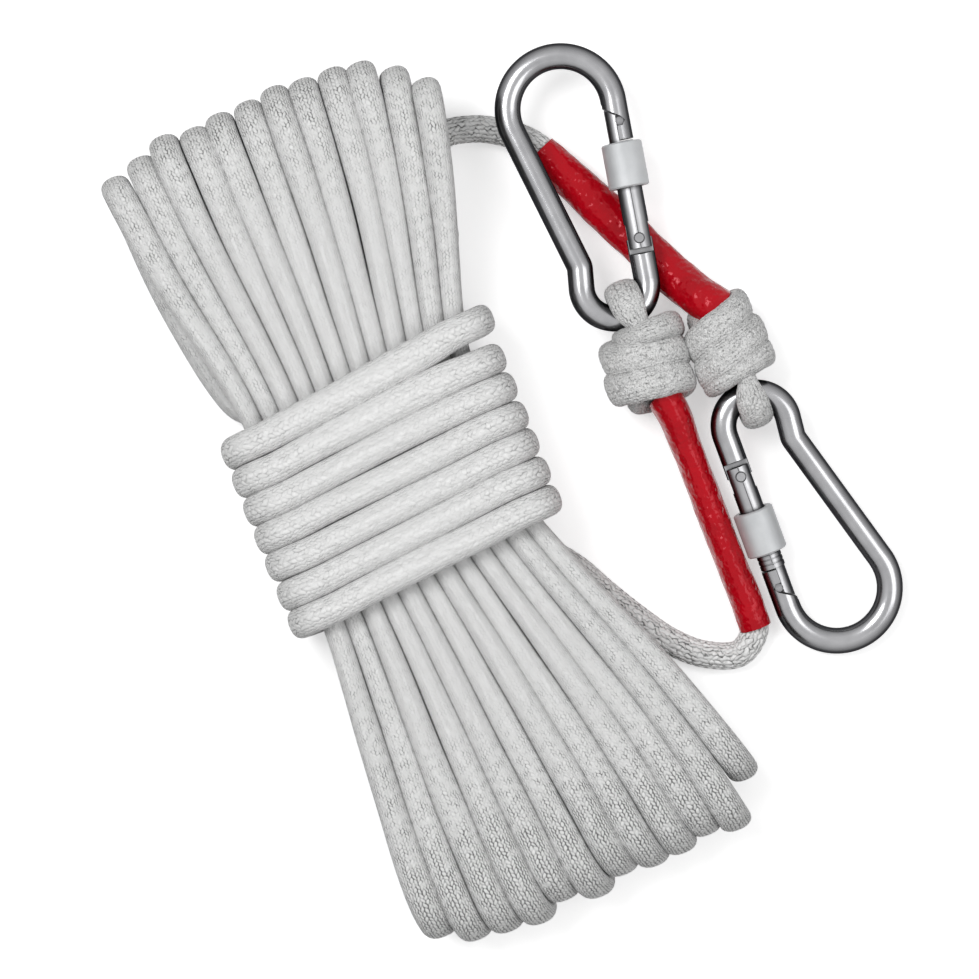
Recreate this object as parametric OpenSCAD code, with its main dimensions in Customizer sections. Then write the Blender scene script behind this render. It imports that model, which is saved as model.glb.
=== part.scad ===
// A braided rope folded into a flat hank and tied round its waist, with a red heat-shrink sleeve,
// a barrel knot with an eye, and a screw-lock carabiner on each of its two ends.
// +Y runs along the hank, +Z is up from the surface it lies on. Millimetres.

/* [Rope] */
// Diameter of the rope
rope_d = 8; // [7:0.5:8]
// Diameter the rope is pulled down to inside a knot
knot_rope_d = 6.6; // [6.2:0.2:6.8]

/* [Hank] */
// Folds at each end of the hank
folds = 12; // [11:1:12]
// Length of the hank from fold to fold
hank_len = 253; // [248:1:256]
// Radius of the rope's centre line in a fold
fold_r = 12; // [11.5:0.5:12.5]
// Spacing of the strands at the end with the shorter lead
pitch_top = 8.5; // [8.4:0.1:9]
// Spacing of the strands at the other end
pitch_bottom = 9.15; // [8.8:0.05:9.4]
// Spacing of the squeezed strands at the waist
pitch_waist = 7.4; // [7.4:0.1:7.6]

/* [Waist turns] */
// Turns of rope round the waist
turns = 7; // [5:1:7]
// Spacing of the turns on the left side
turn_pitch = 8.6; // [8.5:0.1:8.8]

/* [Carabiners] */
// Diameter of the carabiner's wire
wire_d = 7.5; // [7:0.1:7.5]
// Radius of the wide bow, to the middle of the wire
wide_bow_r = 15.2; // [15:0.1:15.6]
// Radius of the narrow bow, to the middle of the wire
narrow_bow_r = 9.4; // [9.3:0.1:9.8]
// Distance between the centres of the two bows
bow_span = 52.7; // [52:0.1:53.5]
// Outer diameter of the gate's tube
gate_d = 7.2; // [7:0.1:7.3]
// Outer diameter of the lock nut
nut_d = 11.7; // [11:0.1:12]
// Length of the lock nut
nut_len = 13; // [12:0.5:13]

/* [Sleeves] */
// Wall of the shrunk sleeve
sleeve_wall = 0.7; // [0.6:0.1:0.8]

/* [Hidden] */
$fn = 48;

rope_white = [0.86, 0.86, 0.85];
sleeve_red = [0.75, 0.07, 0.10];
steel = [0.72, 0.73, 0.75];
dull_zinc = [0.60, 0.61, 0.62];

to_origin = [1.34, -1.17, 0];         // the origin is under the middle of the whole
rope_r = rope_d / 2;
wire_r = wire_d / 2;
across = [1, 0, 0];
along = [0, 1, 0];
upright = [0, 0, 1];

// ---- tubes swept along a list of points -------------------------------------------------

function unit(v) = v / norm(v);
function clamp01(x) = max(0, min(1, x));
function smooth(x) = let (c = clamp01(x)) c * c * (3 - 2 * c);
function mix(a, b, t) = a + (b - a) * t;
function last(list) = list[len(list) - 1];

// direction of the path at point i, halfway between the steps before and after it
function heading_at(p, i) =
    let (n = len(p) - 1,
        before = unit(p[max(i, 1)] - p[max(i, 1) - 1]),
        after = unit(p[min(i, n - 1) + 1] - p[min(i, n - 1)]))
    unit(before + after);

// one ring of the tube: half sizes r[0] towards the hint and r[1] square to it,
// kept above the surface that the rope lies on
function ring(centre, dir, hint, r, sides, twist) =
    let (side = unit(hint - dir * (dir * hint)), other = cross(dir, side))
    [for (k = [0:sides - 1])
        let (a = 360 * k / sides + twist,
            q = centre + side * (r[0] * cos(a)) + other * (r[1] * sin(a)))
        [q[0], q[1], max(q[2], 0)]];

module tube(p, r, sides, hint, twist) {
    n = len(p);
    verts = [for (i = [0:n - 1]) each ring(p[i], heading_at(p, i), hint, r[i], sides, twist)];
    walls = [for (i = [0:n - 2], k = [0:sides - 1])
        let (a = i * sides + k, b = i * sides + (k + 1) % sides)
        each [[a, a + sides, b], [b, a + sides, b + sides]]];
    caps = [for (k = [1:sides - 2]) each
        [[0, k, k + 1], [(n - 1) * sides, (n - 1) * sides + k + 1, (n - 1) * sides + k]]];
    polyhedron(verts, concat(walls, caps));
}

module rope(p, r, sides, hint, twist)
    color(rope_white) translate(to_origin) tube(p, r, sides, hint, twist);

function even_r(p, r) = [for (q = p) [r, r]];

// the path with each step cut in three, for measuring
function finer(p) = [for (i = [0:len(p) - 2], k = [0:2]) mix(p[i], p[i + 1], k / 3)];

// least distance between two stretches of a tube that are more than apart steps from each other
function least_gap(p, r, apart) =
    min([for (i = [0:len(p) - 1 - apart], j = [i + apart:len(p) - 1])
        norm(p[i] - p[j]) - r[i] - r[j]]);

// ---- the hank ---------------------------------------------------------------------------

waist_y = 12.6;                       // middle of the waist turns
waist_half = 24;                      // the strands are at their closest this far each way
waist_x = -41;
top_y = 127;                          // reach of the folds
bottom_y = top_y - hank_len;
top_x = -36.6;                        // middle of the strands at each end
bottom_x = -26.4;
floor_z = 0.34 * rope_d;              // centre of a strand that lies flat on the surface
waist_low_z = 12;                     // lowest strand at the waist, over the turns
waist_tilt = 40.8;                    // neighbours lie this steeply over each other there
waist_r = 3.3;                        // strands squeezed by the turns
fold_run = 5;                         // rings in a fold
stations = [85, 64, 40, 14, -14, -45, -78];

// 0 at the waist, 1 at the folds
function spread(y) =
    let (d = y > waist_y ? (y - waist_y - waist_half) / (top_y - waist_y - waist_half)
                         : (waist_y - waist_half - y) / (waist_y - waist_half - bottom_y))
    1 - pow(1 - clamp01(d), 1.3);
function pitch_at(y) = mix(pitch_waist, y > waist_y ? pitch_top : pitch_bottom, spread(y));
function tilt_at(y) = waist_tilt * (1 - pow(spread(y), 1.6));
function step_at(y) = pitch_at(y) * cos(tilt_at(y));
function rise_at(y) = pitch_at(y) * sin(tilt_at(y));
function middle_at(y) = mix(waist_x, y > waist_y ? top_x : bottom_x, spread(y));
function row_x(i, y) = middle_at(y) + ((folds - 1) / 2 - i) * step_at(y);
function strand_r(y) = min(rope_r, 0.477 * pitch_at(y) - 0.34);

// the upper strand of fold i; the first one rides over the lead
lead_hump = 6;
function upper(i, y) =
    [row_x(i, y), y,
        mix(waist_low_z + 3 * rise_at(waist_y), floor_z + 2 * fold_r, smooth(spread(y)))
        - (i % 2 == 0 ? rise_at(y) : 0)
        + (i == 0 && y > waist_y ? lead_hump * smooth((spread(y) - 0.3) / 0.7) : 0)];

// the lower strand i: it moves over by one place on its way to the top folds,
// and strand 1 climbs over strand 0, which leaves as the lead
function lower_base(y) = mix(waist_low_z, floor_z, smooth((spread(y) - 0.42) / 0.5));
function lower(i, y) =
    let (s = y > waist_y ? smooth((spread(y) - 0.4) / 0.5) : 0, climb = mix(tilt_at(y), 90, s))
    i == 1 && y > waist_y
        ? [row_x(0, y) - pitch_at(y) * cos(climb), y, lower_base(y) + pitch_at(y) * sin(climb)]
        : [row_x(i, y) + (i > 1 ? step_at(y) * s : 0), y,
            lower_base(y) + (i % 2 == 1 ? rise_at(y) : 0)];

// the folds at the corners of the hank are shorter
function top_reach(i) = top_y - 11.8 * pow(clamp01(1 - i / 2), 1.15)
    - 7.5 * pow(clamp01((i - folds + 3) / 2), 1.15);
function bottom_reach(i) = bottom_y + 6.6 * (1 - i / (folds - 1)) + (i == 0 ? 9 : 0)
    + (i == folds - 1 ? 8 : 0) + (i == folds - 2 ? 2 : 0);

// half circle in an upright plane from point a to point b, bulging by dir along Y and by
// lean times as much along X
function fold(a, b, dir, lean) =
    let (r = (b[2] - a[2]) / 2)
    [for (k = [0:fold_run - 1])
        let (t = 180 * k / (fold_run - 1), out = dir * abs(r) * sin(t))
        [mix(a[0], b[0], (1 - cos(t)) / 2) + lean * out, a[1] + out, a[2] + r * (1 - cos(t))]];
function lean_at(i, y, dir) = (row_x(i, y) - row_x(i, y - dir * 6)) * dir / 6;

function bend_y(reach, low, high, dir) = reach - dir * (rope_r + (high - low) / 2);
function top_bend_y(i) =
    bend_y(top_reach(i), lower(i + 1, top_y)[2], upper(i, top_y)[2], 1);
function bottom_bend_y(i) =
    bend_y(bottom_reach(i), lower(i, bottom_y)[2], upper(i, bottom_y)[2], -1);

hank_start_y = 70;
first_run = concat([lower(0, hank_start_y) + [0.5, 0, -0.2]],
    [for (y = [hank_start_y - 8, 40, 14, -14, -45, -78]) lower(0, y)]);
function loop_points(i) = concat(
    i == 0 ? first_run : [for (y = stations) lower(i, y)],
    fold(lower(i, bottom_bend_y(i)), upper(i, bottom_bend_y(i)), -1,
        lean_at(i, bottom_bend_y(i), -1)),
    [for (k = [len(stations) - 1:-1:0]) upper(i, stations[k])],
    fold(upper(i, top_bend_y(i)),
        i == folds - 1 ? feed_start : lower(i + 1, top_bend_y(i)), 1,
        lean_at(i, top_bend_y(i), 1)));

// after the last fold the strand runs back along the left edge and under the hank
feed_start = [row_x(folds - 1, top_bend_y(folds - 1)) - 1, top_bend_y(folds - 1), floor_z];
feed_route = [[-83.4, 96, floor_z], [-82.8, 84, floor_z], [-81.6, 73, floor_z],
    [-80.1, 62, floor_z], [-78.6, 54, floor_z], [-77.4, 49.5, floor_z], [-76.2, 45.2, floor_z],
    [-73.4, 42.2, floor_z], [-69.3, 41.2, floor_z], [-63, 41.2, floor_z], [-57, 42, floor_z],
    [-50, 43.8, floor_z]];
hank_path = concat([for (i = [0:folds - 1]) each loop_points(i)], feed_route);
hank_radii = [for (q = hank_path) let (r = strand_r(q[1])) [r, r]];

module rope_hank() {
    rope(hank_path, hank_radii, 6, across + along * 0.001, 0);
}

// ---- the turns round the waist ----------------------------------------------------------

wrap_gap = 0.5;
wrap_right_x = waist_x + (folds - 1) / 2 * step_at(waist_y);
wrap_left_x = waist_x - (folds - 1) / 2 * step_at(waist_y);
wrap_corner_r = waist_r + rope_r + wrap_gap;
wrap_low = waist_low_z;               // heights of the corner centres
wrap_high = waist_low_z + 3 * rise_at(waist_y);
wrap_low_r = wrap_low - floor_z;      // the legs below lie flat on the surface
function right_y(n) = n == 0 ? 42.4 : 30.8 - turn_pitch * (n - 1);
function left_y(n) = 33 - turn_pitch * n;
// the first two turns bend towards each other across the top
function turn_bow(n) = n == 0 ? -0.5 : n == 1 ? 0.8 : n == 2 ? 0.3 : 0;

// a quarter turn of the rope round a corner of the waist, from angle a0 to a1
function corner(x, z, rx, rz, a0, a1, y0, y1) =
    [for (k = [0:3]) let (a = mix(a0, a1, k / 3))
        [x + rx * cos(a), mix(y0, y1, k / 3), z + rz * sin(a)]];
// one turn: up the right side, back over the top, down the left side and under
function turn_points(n) =
    let (ry = right_y(n), ly = left_y(n), next = n == turns - 1 ? ly - 5 : right_y(n + 1),
        r = wrap_corner_r, xr = wrap_right_x + (n == 0 ? 1 : 0), xl = wrap_left_x)
    concat(
        corner(xr, wrap_low, r, wrap_low_r, -90, 0, ry + 0.6, ry + 0.3),
        [[xr + r, ry + 0.1, (wrap_low + wrap_high) / 2]],
        corner(xr, wrap_high, r, r, 0, 90, ry, mix(ry, ly, 0.06)),
        [for (k = [1:5]) [mix(xr, xl, k / 6), mix(ry, ly, mix(0.06, 0.94, k / 6))
            + turn_bow(n) * sin(180 * pow(k / 6, 0.7)), wrap_high + r]],
        corner(xl, wrap_high, r, r, 90, 180, mix(ry, ly, 0.94), ly),
        [[xl - r, ly - 0.1, (wrap_low + wrap_high) / 2]],
        corner(xl, wrap_low, r, wrap_low_r, 180, 270, ly - 0.2, ly - 0.4),
        [for (k = [1:3]) [mix(xl, xr, k / 4), mix(ly, next, k / 4), floor_z]]);
wraps_in = [last(feed_route), [-42, 45.2, floor_z], [-30, 45.6, floor_z], [-20, 45, floor_z]];
wraps_out = [[wrap_right_x, -24.6, floor_z]];
wrap_path = concat(wraps_in, [for (n = [0:turns - 1]) each turn_points(n)], wraps_out);

module waist_wraps() {
    rope(wrap_path, even_r(wrap_path, rope_r), 6, along + across * 0.001, 0);
}

union() {
    hank_fine = finer(hank_path);
    hank_fine_r = [for (i = [0:len(hank_path) - 2], k = [0:2])
        mix(hank_radii[i][0], hank_radii[i + 1][0], k / 3)];
    wrap_fine = finer(wrap_path);
    echo(hank_least_gap = least_gap(hank_fine, hank_fine_r, 18));
    echo(wraps_least_gap = least_gap(wrap_fine, [for (q = wrap_fine) rope_r], 24));
}

// ---- where the two ends lie -------------------------------------------------------------
// Each list holds the first end, on the shorter lead, and then the second end.

knot_x = [63.8, 39.1];
knot_y = [11.9, 13.0];                // middle of the knot's turns
knot_z = 12.4;
eye_way = [-1, 1];                    // which way along Y the eye points
bow_at = [[61.4, -14.0, 11.9], [38.2, 38.0, 14.8]];   // centre of each narrow bow
bow_heading = [-84.8, 85.4];          // from the narrow bow to the wide one
bow_tilt = [6.2, 0];                  // the first carabiner leans down to the surface

knot_turns = [2.5, 2.2];
knot_pitch = knot_rope_d + 0.6;
knot_rope_r = knot_rope_d / 2;
core_r = 2.7;                         // strands pulled tight in the middle of a knot
knot_r = 2 * core_r + knot_rope_r + 0.4;
function knot_half(end) = (knot_turns[end] * knot_pitch + knot_rope_d) / 2;
core_off = core_r + 0.1;

function on_knot(end, s, dx, z) = [knot_x[end] + dx, knot_y[end] + eye_way[end] * s, z];

// the turns round the core, with a straight rope diameter at each end
function knot_path(end) =
    let (n = round(24 * knot_turns[end]),
        turn = [for (k = [0:n])
            let (a = 360 * k / 24 - 90)
            on_knot(end, (k / n - 0.5) * knot_turns[end] * knot_pitch,
                knot_r * cos(a), knot_z + knot_r * sin(a))])
    concat([turn[0] + knot_rope_d * unit(turn[0] - turn[1])], turn,
        [last(turn) + knot_rope_d * unit(last(turn) - turn[n - 1])]);
module knot(end) {
    rope(knot_path(end), even_r(knot_path(end), knot_rope_r), 6, along + across * 0.001, 0);
}
echo(knot_least_gap = least_gap(knot_path(0), [for (q = knot_path(0)) knot_rope_r], 12));

// ---- the eyes ---------------------------------------------------------------------------

eye_r = 3.1;
eye_bend_r = wire_r + eye_r + 0.5;    // bend of the eye round the carabiner's wire
function bar_at(end) =                // the wire inside the eye
    bow_at[end] - narrow_bow_r
        * [cos(bow_heading[end]) * cos(bow_tilt[end]), sin(bow_heading[end]) * cos(bow_tilt[end]),
            -sin(bow_tilt[end])];
function eye_path(end) =
    let (bar = bar_at(end), s_bar = (bar[1] - knot_y[end]) * eye_way[end],
        dx = bar[0] - knot_x[end])
    concat(
        [on_knot(end, -knot_half(end), 0, knot_z + core_off), on_knot(end, 0, 0, knot_z + core_off),
            on_knot(end, knot_half(end) - 4, 0, knot_z + core_off)],
        [for (a = [135:-22.5:-112.5])
            on_knot(end, s_bar + eye_bend_r * cos(a), dx, bar[2] + eye_bend_r * sin(a))],
        [on_knot(end, knot_half(end) - 4, 0, knot_z - core_off), on_knot(end, 0, 0, knot_z - core_off),
            on_knot(end, -knot_half(end), 0, knot_z - core_off)]);
function eye_radii(end) =
    [for (q = eye_path(end))
        let (r = (q[1] - knot_y[end]) * eye_way[end] > knot_half(end) - 1 ? eye_r : core_r) [r, r]];
module eye(end) {
    rope(eye_path(end), eye_radii(end), 8, across, 22.5);
}

// ---- the leads, tails and sleeves -------------------------------------------------------

first_route = [[-2.4, 79, 8.4], [-0.2, 87.5, 6.4], [3.2, 93.4, 4.8], [9, 96.7, 4], [16, 95.6, 4],
    [24.5, 91.4, 4.1], [33.3, 82.5, 4.3], [37, 74, 4.3], [42, 63, 4.3], [47, 52.5, 4.5],
    [51.5, 43, 5.4], [55.5, 34.5, 7.3], [59.8, 26.6, 10.6]];
second_route = [[-2, -32.6, 3.4], [3.6, -43, 4], [10, -54, 4], [16.2, -63, 4], [24, -70, 4],
    [34, -73.2, 4], [40.2, -68, 4.4], [40.6, -60, 4.7], [40.5, -48, 4.8], [40.5, -36, 5],
    [40.6, -24, 5.6], [40.6, -12, 7.4], [40.5, -0.8, 11]];
first_sleeve_from = 6;                // points of the routes where the sleeves begin and end
first_sleeve_to = 12;
second_sleeve_from = 6;
second_sleeve_to = 12;
tail_from = 2;                        // points into the sleeve where the tail begins
strand_in_sleeve = [[3.5, 2.6], [3.1, 3.1]];   // half height and half width of each strand inside
strand_apart = [2.65, 3.2];           // sideways in the first sleeve, one above the other in the second

function leg_start(end) = on_knot(end, -knot_half(end), 0, knot_z + core_off);
function leg_low(end) = on_knot(end, -knot_half(end), 0, knot_z - core_off);

// sideways shift of the strands inside the first sleeve, where they lie side by side
function beside(p, i, by) =
    let (d = heading_at(p, i)) unit([d[1], -d[0], 0]) * by;
// the standing part, pressed over as far as the tail needs
function in_sleeve(i, from) = smooth((i - from) / tail_from);

function first_lead_path() = concat([hank_path[0]],
    [for (i = [0:len(first_route) - 1]) first_route[i]
        + beside(first_route, i, strand_apart[0] * in_sleeve(i, first_sleeve_from) * (i == 12 ? 0.6 : 1))],
    [leg_start(0) + [0, 1.5, 0], leg_start(0)]);
function second_lead_path() = concat([last(wrap_path), [-6.2, -27.4, 3]],
    [for (i = [0:len(second_route) - 1]) second_route[i]
        + upright * strand_apart[1] * in_sleeve(i, second_sleeve_from) * (i == 12 ? 0.6 : 1)],
    [leg_start(1) - [0, 1.5, 0], leg_start(1)]);
function lead_radii(end, p, from, skip) = [for (i = [0:len(p) - 1])
    let (t = in_sleeve(i - skip, from), r = strand_in_sleeve[end])
    i >= len(p) - 2 ? [core_r, core_r] : [mix(rope_r - 0.1, r[0], t), mix(rope_r - 0.1, r[1], t)]];

first_tail_path = concat(
    [for (i = [first_sleeve_from + tail_from:first_sleeve_to]) first_route[i]
        + beside(first_route, i, -strand_apart[0] * (i == 12 ? 0.6 : 1)) - (i == 12 ? [0, 0, 0.8] : [0, 0, 0])],
    [leg_low(0) + [0, 1.5, 0], leg_low(0)]);
second_tail_path = concat(
    [for (i = [second_sleeve_from + tail_from:second_sleeve_to]) second_route[i]
        - upright * min(strand_apart[1], second_route[i][2] - 3.8)],
    [leg_low(1) - [0, 1.5, 0], leg_low(1)]);
function tail_radii(end, p) = [for (i = [0:len(p) - 1])
    i >= len(p) - 2 ? [core_r, core_r] : strand_in_sleeve[end] - [0.1, 0.1]];

module first_lead() {
    p = first_lead_path();
    rope(p, lead_radii(0, p, first_sleeve_from, 1), 8, upright, 22.5);
}
module second_lead() {
    p = second_lead_path();
    rope(p, lead_radii(1, p, second_sleeve_from, 2), 8, upright, 22.5);
}
module first_tail() {
    rope(first_tail_path, tail_radii(0, first_tail_path), 8, upright, 22.5);
}
module second_tail() {
    rope(second_tail_path, tail_radii(1, second_tail_path), 8, upright, 22.5);
}

// a shrunk sleeve: a thin shell round the strands, wider where the tail joins
module sleeve(p, half, from, mid) {
    outer = [for (i = [0:len(p) - 1]) let (t = smooth((i - from) / mid))
        [mix(half[0][0], half[1][0], t), mix(half[0][1], half[1][1], t)]];
    inner = [for (r = outer) [r[0] - sleeve_wall, r[1] - sleeve_wall]];
    past = concat([p[0] + 0.5 * unit(p[0] - p[1])], [for (i = [1:len(p) - 2]) p[i]],
        [last(p) + 0.5 * unit(last(p) - p[len(p) - 2])]);
    color(sleeve_red) translate(to_origin)
    difference() {
        tube(p, outer, 12, upright, 15);
        tube(past, inner, 12, upright, 15);
    }
}
module first_sleeve()
    sleeve([for (i = [first_sleeve_from:first_sleeve_to]) first_route[i]],
        [[4.3, 4.6], [4.3, 6.1]], 0, tail_from);
module second_sleeve()
    sleeve([for (i = [second_sleeve_from:second_sleeve_to]) second_route[i] + [0, 0, 1.6]
        * smooth((i - second_sleeve_from) / tail_from)], [[4.9, 4.8], [7.2, 4.8]], 0, tail_from);

// ---- the carabiners ---------------------------------------------------------------------
// Drawn flat, with the narrow bow's centre at the origin, the wide bow towards +X,
// the gate on the -Y side and the spine on the +Y side.

gate_lean = asin((wide_bow_r - narrow_bow_r) / bow_span);
kink = [8, 7.9];                      // where the spine turns out round the narrow bow
kink_far = norm([bow_span - kink[0], kink[1]]);
spine_lean = asin(wide_bow_r / kink_far) - atan2(kink[1], bow_span - kink[0]);
kink_near = norm(kink);
neck_lean = asin(narrow_bow_r / kink_near) - atan2(kink[1], kink[0]);
spine_end = [bow_span - wide_bow_r * sin(spine_lean), wide_bow_r * cos(spine_lean)];
neck_end = narrow_bow_r * [sin(neck_lean), cos(neck_lean)];
kink_r = 4.3;                         // tight bend at the kink
kink_turn = neck_lean + spine_lean;
kink_mid = 90 + (spine_lean - neck_lean) / 2;
kink_centre = kink + kink_r / cos(kink_turn / 2) * [cos(kink_mid), sin(kink_mid)];
kink_start = kink + kink_r * tan(kink_turn / 2) * [cos(spine_lean), sin(spine_lean)];
kink_end = kink + kink_r * tan(kink_turn / 2) * [-cos(neck_lean), sin(neck_lean)];
hinge_along = 12;                     // hinge pin past the narrow bow's end of the gate side
hinge_at = [hinge_along * cos(gate_lean) - narrow_bow_r * sin(gate_lean),
    -narrow_bow_r * cos(gate_lean) - hinge_along * sin(gate_lean)];
gate_side = sqrt(bow_span * bow_span - pow(wide_bow_r - narrow_bow_r, 2));

tang_t = 2.8;                         // flattened tang that the gate turns on
tang_reach = 3.2;
tang_step = -4.2;                     // step from the round wire to the tang
hinge_pin_r = 1.25;
pin_play = 0.06;
gate_front = 28.1;                    // distances from the hinge pin along the gate
gate_back = -2.8;
nose_end = 28.6;
slot_end = 39.4;
latch_at = [33.9, -0.6];
latch_pin_r = 1.2;
latch_pin_len = 5.6;
blade_t = 2;
gate_bore_r = 2.45;
spring_front = 25.5;
plunger_at = tang_reach + 0.15;
plunger_len = 3;
plunger_travel = 0.67;                // pushed back this far by the shoulder of an open gate
spring_r = 1.85;
spring_wire_r = 0.4;
spring_turns = 7;
nut_rest = [17, 21.3];                // middle of each nut along its gate

module on_carabiner(end)
    translate(bow_at[end] + to_origin) rotate([0, 0, bow_heading[end]])
        rotate([0, bow_tilt[end], 0]) children();
module on_gate_line() translate([hinge_at[0], hinge_at[1], 0]) rotate([0, 0, -gate_lean]) children();
module bar(from, to, r) {
    d = to - from;
    translate([from[0], from[1], 0]) rotate([0, 0, atan2(d[1], d[0])]) rotate([0, 90, 0])
        cylinder(r = r, h = norm(d));
}
module bow(centre, r, from, sweep)
    translate([centre[0], centre[1], 0]) rotate([0, 0, from]) rotate_extrude(angle = sweep)
        translate([r, 0]) circle(r = wire_r);

// the bent wire between its two straight ends; the straights run a little way into the bends
into_bend = 0.3;
module straight(from, to) {
    u = into_bend * unit(to - from);
    bar(from - u, to + u, wire_r - 0.015);
}
module wire_loop() {
    bow([bow_span, 0], wide_bow_r, -90 - gate_lean, 180 + gate_lean + spine_lean);
    straight(spine_end, kink_start);
    bow(kink_centre, kink_r, kink_mid - 180 - kink_turn / 2, kink_turn);
    straight(kink_end, neck_end);
    bow([0, 0], narrow_bow_r, 90 - neck_lean, 180 + neck_lean - gate_lean);
}

// straight end of the wire, with the slot and notch that the gate's latch closes into
module nose() difference() {
    bar([nose_end, 0], [gate_side - hinge_along + into_bend, 0], wire_r - 0.015);
    translate([0, 0, -wire_r - 1]) linear_extrude(wire_d + 2)
        polygon([[nose_end - 1, 6], [nose_end - 1, 0.3], [32.55, 0.3], [32.55, -1.2],
            [33.9, -2.15], [35.15, -1.25], [38.4, 3.8], [38.4, 6]]);
    translate([nose_end - 1, -2.95, -blade_t / 2 - 0.25])
        cube([slot_end - nose_end + 1, 9, blade_t + 0.5]);
}

// the other end: flattened to a tang, with a square shoulder that works the plunger
module tang() difference() {
    union() {
        difference() {
            bar([-hinge_along - into_bend, 0], [0, 0], wire_r - 0.015);
            for (side = [-1, 1])
                rotate([90, 0, 0]) translate([0, 0, -6]) linear_extrude(12)
                    polygon([[tang_step - 0.5, side * (wire_r + 0.1)], [tang_step, side * tang_t / 2],
                        [1, side * tang_t / 2], [1, side * (wire_r + 0.1)]]);
        }
        translate([0, 0, -tang_t / 2]) cylinder(r = tang_reach, h = tang_t);
        translate([0, 0, -tang_t / 2]) cube([tang_reach, 2.4, tang_t]);
    }
    translate([0, 0, -3]) cylinder(r = hinge_pin_r + pin_play, h = 6);
}

module frame(end) {
    color(steel) on_carabiner(end) {
        wire_loop();
        on_gate_line() {
            tang();
            nose();
        }
    }
}

// latch blade past the front of the gate, with a half-round shoulder under it
module gate_latch() {
    intersection() {
        bar([gate_front - 1, 0], [38, 0], gate_d / 2 - 0.3);
        translate([0, 0, -4]) linear_extrude(8)
            polygon([[gate_front - 2, 0.45], [35.65, 0.45], [37.8, 3.8], [gate_front - 2, 3.8]]);
    }
    translate([latch_at[0], latch_at[1], -blade_t / 2]) cylinder(r = 2, h = blade_t);
    translate([0, 0, -blade_t / 2]) linear_extrude(blade_t)
        polygon([[gate_front, 0.45], [36.4, 0.45], [38.8, 3.2], [gate_front, 3.2]]);
    translate([latch_at[0] - 2, latch_at[1], -blade_t / 2]) cube([2, 3.45, blade_t]);
}

module gate(end) {
    color(steel) on_carabiner(end) on_gate_line() difference() {
        union() {
            bar([gate_back, 0], [gate_front, 0], gate_d / 2);
            gate_latch();
        }
        bar([gate_back - 1, 0], [spring_front, 0], gate_bore_r);
        translate([gate_back - 1, -5, -tang_t / 2 - 0.15]) cube([8.2, 10, tang_t + 0.3]);
        translate([0, 0, -5]) cylinder(r = hinge_pin_r, h = 10);
        // a ring sunk round each end of the hinge pin
        for (side = [0, 1]) mirror([0, 0, side])
            translate([0, 0, gate_d / 2 - 0.6]) cylinder(r = hinge_pin_r + 0.35, h = 2);
        translate([latch_at[0], latch_at[1], -5]) cylinder(r = latch_pin_r, h = 10);
        // the seam of the rolled tube
        translate([gate_back - 1, -0.15, gate_d / 2 - 0.25]) cube([gate_front - gate_back, 0.3, 1]);
        // the end of the lock nut's thread
        for (x = [18:1.4:26.4])
            translate([x, 0, 0]) rotate([0, 90, 0]) difference() {
                cylinder(r = gate_d, h = 0.5);
                translate([0, 0, -1]) cylinder(r = gate_d / 2 - 0.2, h = 3);
            }
    }
}

module hinge_pin(end)
    color(steel) on_carabiner(end) on_gate_line() translate([0, 0, -gate_d / 2 - 0.15])
        cylinder(r = hinge_pin_r, h = gate_d + 0.3);

module latch_pin(end)
    color(steel) on_carabiner(end) on_gate_line()
        translate([latch_at[0], latch_at[1], -latch_pin_len / 2])
        cylinder(r = latch_pin_r, h = latch_pin_len);

module lock_nut(end)
    color(dull_zinc) on_carabiner(end) on_gate_line()
        translate([nut_rest[end] - nut_len / 2, 0, 0]) rotate([0, 90, 0]) rotate_extrude()
        polygon([[4.05, 0], [nut_d / 2 - 0.4, 0], [nut_d / 2, 0.4], [nut_d / 2, nut_len - 0.4],
            [nut_d / 2 - 0.4, nut_len], [4.05, nut_len]]);

module plunger(end)
    color(steel) on_carabiner(end) on_gate_line()
        translate([plunger_at, 0, 0]) rotate([0, 90, 0]) {
            cylinder(r = gate_bore_r - 0.15, h = plunger_len);
            cylinder(r = 1.1, h = plunger_len + 2);
        }

module gate_spring(end) {
    from = plunger_at + plunger_len + plunger_travel + 0.15 + spring_wire_r;
    to = spring_front - 0.1 - spring_wire_r;
    coil = [for (k = [0:8 * spring_turns]) let (a = 45 * k)
        [mix(from, to, k / (8 * spring_turns)), spring_r * cos(a), spring_r * sin(a)]];
    color(steel) on_carabiner(end) on_gate_line()
        spring_tube([for (q = coil) q + [0, 0, 50]]);
}
// the same sweep, held clear of the surface that the rope rings are kept above
module spring_tube(p) translate([0, 0, -50])
    tube(p, even_r(p, spring_wire_r), 4, across, 0);

// ---- the nodes --------------------------------------------------------------------------

rope_hank();
waist_wraps();
first_lead();
first_sleeve();
first_tail();
knot(0);  // first_knot
eye(0);  // first_eye
second_lead();
second_sleeve();
second_tail();
knot(1);  // second_knot
eye(1);  // second_eye
frame(0);  // first_frame
gate(0);  // first_gate
hinge_pin(0);  // first_hinge_pin
latch_pin(0);  // first_latch_pin
lock_nut(0);  // first_lock_nut
gate_spring(0);  // first_gate_spring
plunger(0);  // first_plunger
frame(1);  // second_frame
gate(1);  // second_gate
hinge_pin(1);  // second_hinge_pin
latch_pin(1);  // second_latch_pin
lock_nut(1);  // second_lock_nut
gate_spring(1);  // second_gate_spring
plunger(1);  // second_plunger
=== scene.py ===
import math

import bmesh
import bpy
import numpy as np
from mathutils import Matrix, Vector


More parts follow.
